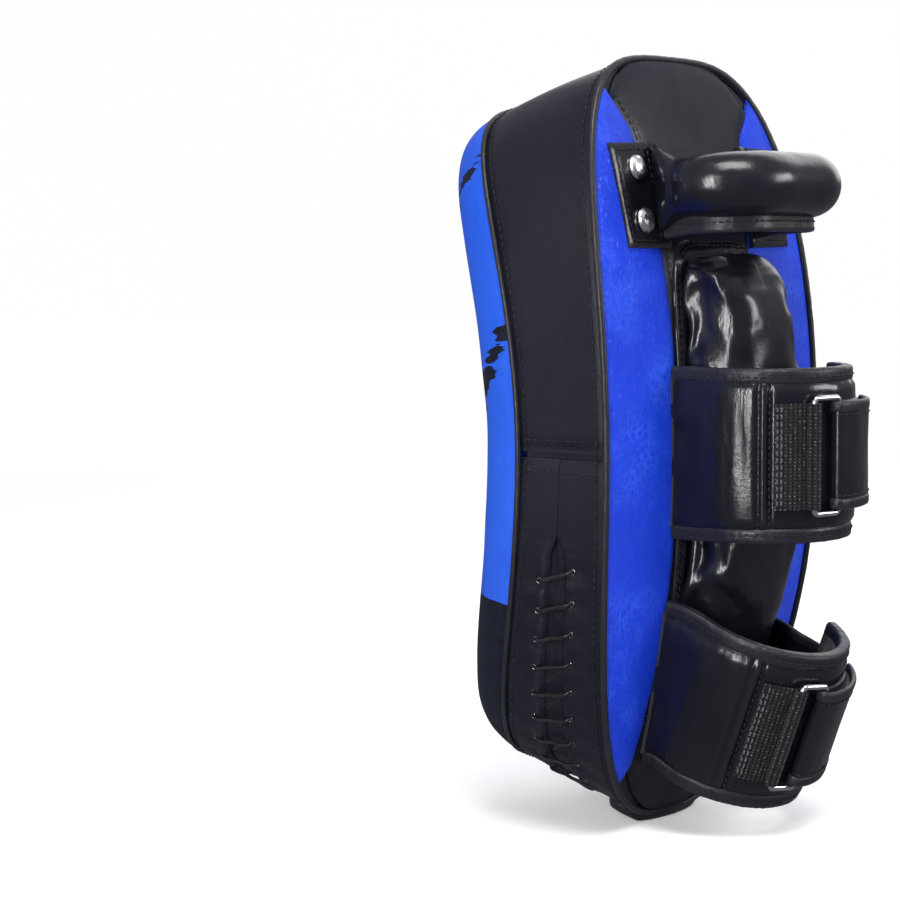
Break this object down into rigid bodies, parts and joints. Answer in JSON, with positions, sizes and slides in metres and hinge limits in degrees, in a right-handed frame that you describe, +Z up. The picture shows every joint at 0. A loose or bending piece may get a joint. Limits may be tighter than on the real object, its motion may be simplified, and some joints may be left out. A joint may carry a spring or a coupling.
{
  "type": "thai kick pad",
  "caption": "Curved thai kick pad: foam block in a sewn cover with a padded handle and forearm loops closed by straps through metal rings.",
  "frame": {"origin": "centre of the flat patch at the pad's lower end that it stands on", "axes": "+Z up along the pad, the striking face looks along -Y, the handle and forearm loops are on the +Y side, X runs across the pad"},
  "size_m": [0.2032, 0.2089, 0.4035],
  "materials": {
    "blue_cover": "grained, satin",
    "foam": "closed-cell foam",
    "stiff_board": "plain",
    "black_cover": "smooth, semi-gloss",
    "lace_cord": "glossy",
    "bright_metal": "polished",
    "ribbed_webbing": "ribbed weave",
    "lining": "woven",
    "tape": "hook and loop tape"
  },
  "bodies": {
    "pad": {"front_cover": "blue_cover", "front_foam": "foam", "core_foam": "foam", "rear_board": "stiff_board", "side_band_upper": "black_cover", "side_band_lower_front": "black_cover", "side_band_lower_rear": "black_cover", "lace_tongue": "black_cover", "lace": "lace_cord", "front_piping": "black_cover", "rear_piping": "black_cover", "foot_patch": "black_cover", "rear_panel_left": "blue_cover", "rear_panel_right": "blue_cover", "spine_cover": "black_cover", "bottom_cap": "black_cover", "cushion_cover": "black_cover", "cushion_foam": "foam", "cushion_flange": "black_cover", "handle_tab_left": "black_cover", "handle_tab_right": "black_cover", "handle_rivets": "bright_metal", "rivet_washers": "bright_metal", "loop_roots": "black_cover"},
    "handle": {"handle_grip": "black_cover", "handle_foam": "foam", "handle_webbing": "ribbed_webbing", "handle_flange": "black_cover"},
    "upper_loop": {"upper_cuff": "black_cover", "upper_cuff_foam": "foam", "upper_cuff_lining": "lining", "upper_cuff_binding": "black_cover", "upper_anchor_band": "ribbed_webbing", "upper_strap": "black_cover", "upper_strap_binding": "black_cover", "upper_loop_tape": "tape"},
    "upper_ring": {"upper_ring": "bright_metal"},
    "upper_flap": {"upper_flap": "black_cover", "upper_hook_tape": "tape"},
    "lower_loop": {"lower_cuff": "black_cover", "lower_cuff_foam": "foam", "lower_cuff_lining": "lining", "lower_cuff_binding": "black_cover", "lower_anchor_band": "ribbed_webbing", "lower_strap": "black_cover", "lower_strap_binding": "black_cover", "lower_loop_tape": "tape"},
    "lower_ring": {"lower_ring": "bright_metal"},
    "lower_flap": {"lower_flap": "black_cover", "lower_hook_tape": "tape"}
  },
  "joints": [
    {"name": "handle_tilt", "type": "hinge", "parent": "pad", "child": "handle", "pos_m": [-0.004, 0.03004, 0.33366], "axis": [1, 0, 0], "range_deg": [-16, 32]},
    {"name": "upper_loop_tilt", "type": "hinge", "parent": "pad", "child": "upper_loop", "pos_m": [-0.004, 0.042, 0.1994], "axis": [1, 0, 0], "range_deg": [-20, 20]},
    {"name": "lower_loop_tilt", "type": "hinge", "parent": "pad", "child": "lower_loop", "pos_m": [-0.004, 0.03096, 0.07836], "axis": [1, 0, 0], "range_deg": [-10, 20]},
    {"name": "upper_ring_rock", "type": "hinge", "parent": "upper_loop", "child": "upper_ring", "pos_m": [0.01918, 0.10987, 0.1993], "axis": [0, -0.0015, -1], "range_deg": [0, 10]},
    {"name": "lower_ring_rock", "type": "hinge", "parent": "lower_loop", "child": "lower_ring", "pos_m": [0.01918, 0.09462, 0.05484], "axis": [0, -0.3466, -0.938], "range_deg": [0, 10]},
    {"name": "upper_flap_peel", "type": "hinge", "parent": "upper_ring", "child": "upper_flap", "pos_m": [0.00333, 0.11445, 0.19929], "axis": [0, -0.0015, -1], "range_deg": [0, 100]},
    {"name": "lower_flap_peel", "type": "hinge", "parent": "lower_ring", "child": "lower_flap", "pos_m": [0.00333, 0.09892, 0.05325], "axis": [0, -0.3466, -0.938], "range_deg": [0, 100]}
  ]
}
